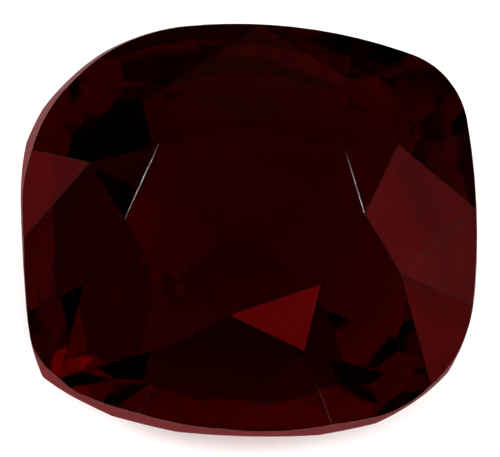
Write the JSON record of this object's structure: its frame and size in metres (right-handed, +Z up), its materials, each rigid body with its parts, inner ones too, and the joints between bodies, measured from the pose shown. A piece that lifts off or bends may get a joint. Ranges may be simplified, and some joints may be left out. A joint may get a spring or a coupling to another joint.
{
  "type": "cut ruby",
  "caption": "Loose cushion-cut ruby, brilliant crown over a step-cut pavilion, deep red and see-through, lying on one pavilion facet.",
  "frame": {"origin": "middle of the stone's bounding box, on the surface that it lies on", "axes": "+X along the stone's long axis, +Z up, -Z out of the pavilion facet that it lies on; the table faces up and towards -Y"},
  "size_m": [0.01, 0.0084, 0.006],
  "materials": {
    "ruby": "polished facets, finely frosted girdle"
  },
  "bodies": {
    "root": {"ruby": "ruby"}
  },
  "joints": []
}
